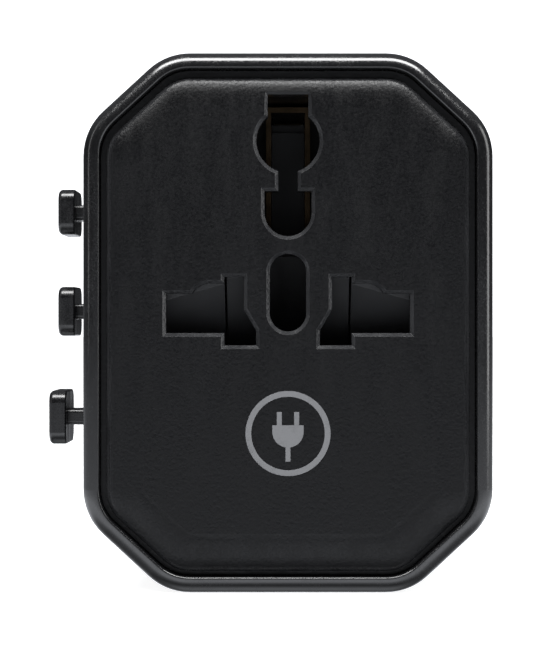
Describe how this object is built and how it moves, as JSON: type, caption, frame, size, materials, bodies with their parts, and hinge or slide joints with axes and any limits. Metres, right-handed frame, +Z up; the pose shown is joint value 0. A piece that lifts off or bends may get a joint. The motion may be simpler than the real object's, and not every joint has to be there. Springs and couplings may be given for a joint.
{
  "type": "universal travel adapter",
  "caption": "Universal travel adapter with a multi-standard shuttered socket face, and side sliders that push British, American/Australian and European plug pins out of the rear.",
  "frame": {"origin": "middle of the flat base face the adapter stands on, halfway between socket face and rear face", "axes": "+Z up, parallel to the long sides of the case; -Y out of the socket face; +X right as seen from the front, so the sliders are on the -X side"},
  "size_m": [0.0551, 0.055, 0.0657],
  "materials": {
    "black_gloss": "satin gloss moulded black",
    "black_matte": "fine-grained matt black",
    "print_grey": "flat grey pad print",
    "shutter_black": "plain matt black",
    "insulator": "dark grey moulding",
    "brass": "stamped, unplated",
    "nickel": "nickel-plated",
    "spring_steel": "drawn wire",
    "ceramic_tube": "unglazed white",
    "screw_steel": "zinc-plated",
    "knob_black": "satin black",
    "sleeve_black": "plain black"
  },
  "bodies": {
    "housing": {"front_bezel": "black_gloss", "socket_faceplate": "black_matte", "printed_emblem": "print_grey", "rear_shell": "black_gloss", "contact_carrier": "insulator", "line_busbar": "brass", "neutral_busbar": "brass", "earth_busbar": "brass", "right_shutter_spring": "spring_steel", "left_shutter_spring": "spring_steel", "fuse_body": "ceramic_tube", "fuse_ferrules": "nickel", "fuse_contact": "brass", "fuse_cap": "black_gloss", "case_screws": "screw_steel"},
    "right_shutter": {"right_shutter": "shutter_black"},
    "left_shutter": {"left_shutter": "shutter_black"},
    "uk_set": {"uk_slider_knob": "knob_black", "uk_carriage": "insulator", "uk_earth_pin": "nickel", "uk_line_pins": "nickel", "uk_pin_sleeves": "sleeve_black", "uk_wipers": "brass"},
    "us_set": {"us_slider_knob": "knob_black", "us_carriage": "insulator", "us_wipers": "brass"},
    "us_left_blade_unit": {"us_left_hub": "insulator", "us_left_blade": "nickel"},
    "us_right_blade_unit": {"us_right_hub": "insulator", "us_right_blade": "nickel"},
    "eu_set": {"eu_slider_knob": "knob_black", "eu_block": "insulator", "eu_pins": "nickel", "eu_pin_sleeves": "sleeve_black", "eu_wipers": "brass"}
  },
  "joints": [
    {"name": "right_shutter_lift", "type": "slide", "parent": "housing", "child": "right_shutter", "axis": [0, 0, 1], "range_m": [0, 0.009], "stiffness_N_per_m": 40, "springref_m": -0.008, "deforming": ["right_shutter_spring"]},
    {"name": "left_shutter_lift", "type": "slide", "parent": "housing", "child": "left_shutter", "axis": [0, 0, 1], "range_m": [0, 0.009], "stiffness_N_per_m": 40, "springref_m": -0.008, "deforming": ["left_shutter_spring"]},
    {"name": "uk_slide", "type": "slide", "parent": "housing", "child": "uk_set", "axis": [0, 1, 0], "range_m": [0, 0.0228]},
    {"name": "us_slide", "type": "slide", "parent": "housing", "child": "us_set", "axis": [0, 1, 0], "range_m": [0, 0.018]},
    {"name": "eu_slide", "type": "slide", "parent": "housing", "child": "eu_set", "axis": [0, 1, 0], "range_m": [0, 0.027]},
    {"name": "us_left_blade_turn", "type": "hinge", "parent": "us_set", "child": "us_left_blade_unit", "pos_m": [-0.0066, 0, 0.04185], "axis": [0, 1, 0], "range_deg": [0, 30]},
    {"name": "us_right_blade_turn", "type": "hinge", "parent": "us_set", "child": "us_right_blade_unit", "pos_m": [0.0066, 0, 0.04185], "axis": [0, 1, 0], "range_deg": [-30, 0]}
  ]
}
